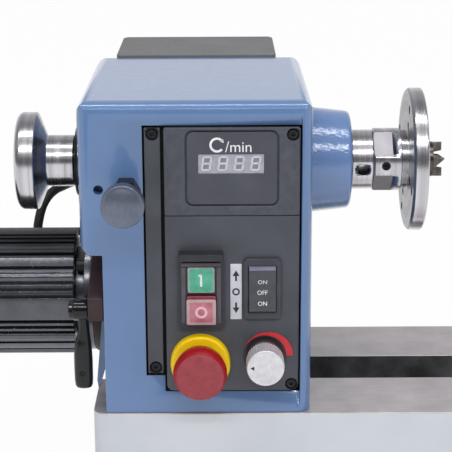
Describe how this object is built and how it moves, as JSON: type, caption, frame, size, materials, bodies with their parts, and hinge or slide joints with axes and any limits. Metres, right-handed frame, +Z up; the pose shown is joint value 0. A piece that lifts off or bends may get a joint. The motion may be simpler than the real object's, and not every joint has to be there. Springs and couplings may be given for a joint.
{
  "type": "wood lathe headstock",
  "caption": "Variable-speed wood-lathe headstock on a short flat-way bed, with handwheel, faceplate, spur centre, index plunger, swinging motor and front control panel.",
  "frame": {"origin": "centre of the foot-bolt pattern, on the plane that the feet stand on", "axes": "+X along the spindle towards the faceplate, +Y away from the operator, +Z up"},
  "size_m": [0.5013, 0.3564, 0.316],
  "materials": {
    "blue_paint": "glossy light-blue paint with a slight orange peel",
    "ground_iron": "ground cast iron",
    "turned_steel": "turned and polished steel",
    "hardened_steel": "dark hardened steel",
    "black_oxide_steel": "black oxide",
    "black_paint": "satin black paint",
    "black_plastic": "moulded black plastic",
    "rubber": "black rubber",
    "grey_paint": "grey powder coat",
    "panel_plastic": "dark grey moulded panel",
    "window_plastic": "smoked display window",
    "circuit_board": "solder mask",
    "green_plastic": "green button",
    "red_plastic": "red button",
    "yellow_plastic": "yellow ring",
    "label_film": "white film label",
    "scale_film": "printed scale",
    "satin_aluminium": "satin aluminium"
  },
  "bodies": {
    "base": {"bed": "ground_iron", "headstock_casting": "blue_paint", "hold_down_bolts": "turned_steel", "belt_cover": "blue_paint", "belt_cover_screws": "black_oxide_steel", "front_bearing": "turned_steel", "rear_bearing": "turned_steel", "rear_bearing_cap": "black_paint", "cap_screws": "turned_steel", "belt": "rubber", "plunger_body": "black_oxide_steel", "plunger_spring": "turned_steel", "motor_pivot_bolt": "turned_steel", "lock_stud": "turned_steel", "motor_lead": "rubber", "controller_box": "grey_paint", "controller_lid": "grey_paint", "lid_screws": "black_oxide_steel", "box_gland": "black_plastic", "mains_inlet": "black_plastic", "panel_strip": "panel_plastic", "display_plate": "panel_plastic", "switch_plate": "panel_plastic", "panel_screws": "black_oxide_steel", "display_bezel": "panel_plastic", "display_window": "window_plastic", "display_board": "circuit_board", "switch_housing": "black_plastic", "label_plate": "label_film", "rocker_bezel": "black_plastic", "estop_ring": "yellow_plastic", "estop_block": "black_plastic", "speed_scale": "scale_film", "speed_pot": "turned_steel"},
    "spindle_set": {"spindle": "turned_steel", "handwheel": "turned_steel", "handwheel_screw": "black_oxide_steel", "faceplate": "turned_steel", "faceplate_screws": "black_oxide_steel", "spur_centre": "hardened_steel", "spindle_pulley": "ground_iron", "index_ring": "ground_iron"},
    "motor_carriage": {"motor_plate": "black_paint", "motor_front_bell": "black_paint", "motor_bolts": "turned_steel", "motor_housing": "black_paint", "motor_rear_bell": "black_paint", "terminal_box": "black_plastic", "motor_gland": "black_plastic"},
    "rotor": {"motor_shaft": "turned_steel", "motor_pulley": "ground_iron"},
    "lever": {"lock_lever": "black_plastic"},
    "plunger": {"plunger_pin": "turned_steel", "plunger_knob": "black_plastic"},
    "start": {"start_button": "green_plastic"},
    "stop": {"stop_button": "red_plastic"},
    "estop_push": {"estop_stem": "red_plastic"},
    "estop_twist": {"estop_head": "red_plastic"},
    "direction": {"rocker": "black_plastic"},
    "speed": {"speed_knob": "satin_aluminium"}
  },
  "joints": [
    {"name": "spindle_spin", "type": "hinge", "parent": "base", "child": "spindle_set", "pos_m": [-0.077, 0, 0.248], "axis": [1, 0, 0], "continuous": true},
    {"name": "motor_swing", "type": "hinge", "parent": "base", "child": "motor_carriage", "pos_m": [-0.157, 0.075, 0.145], "axis": [-1, 0, 0], "range_deg": [0, 2.5], "deforming": ["belt", "motor_lead"]},
    {"name": "motor_spin", "type": "hinge", "parent": "motor_carriage", "child": "rotor", "pos_m": [-0.177, 0, 0.139], "axis": [1, 0, 0], "continuous": true},
    {"name": "lever_turn", "type": "hinge", "parent": "base", "child": "lever", "pos_m": [-0.167, -0.082, 0.15], "axis": [-1, 0, 0], "range_deg": [0, 80]},
    {"name": "plunger_push", "type": "slide", "parent": "base", "child": "plunger", "axis": [0, 1, 0], "range_m": [0, 0.006]},
    {"name": "start_press", "type": "slide", "parent": "base", "child": "start", "axis": [0, 1, 0], "range_m": [0, 0.003], "stiffness_N_per_m": 400},
    {"name": "stop_press", "type": "slide", "parent": "base", "child": "stop", "axis": [0, 1, 0], "range_m": [0, 0.003], "stiffness_N_per_m": 400},
    {"name": "estop_press", "type": "slide", "parent": "base", "child": "estop_push", "axis": [0, 1, 0], "range_m": [0, 0.003]},
    {"name": "estop_turn", "type": "hinge", "parent": "estop_push", "child": "estop_twist", "pos_m": [-0.0742, -0.11, 0.1132], "axis": [0, 1, 0], "range_deg": [0, 40], "stiffness_Nm_per_rad": 0.05},
    {"name": "rocker_tilt", "type": "hinge", "parent": "base", "child": "direction", "pos_m": [-0.0272, -0.0965, 0.1719], "axis": [1, 0, 0], "range_deg": [-11, 11]},
    {"name": "speed_turn", "type": "hinge", "parent": "base", "child": "speed", "pos_m": [-0.0253, -0.11, 0.118], "axis": [0, 1, 0], "range_deg": [-30, 240]}
  ],
  "couplings": [
    {"joint": "motor_spin", "follows": "spindle_spin", "ratio": 1.8182}
  ]
}
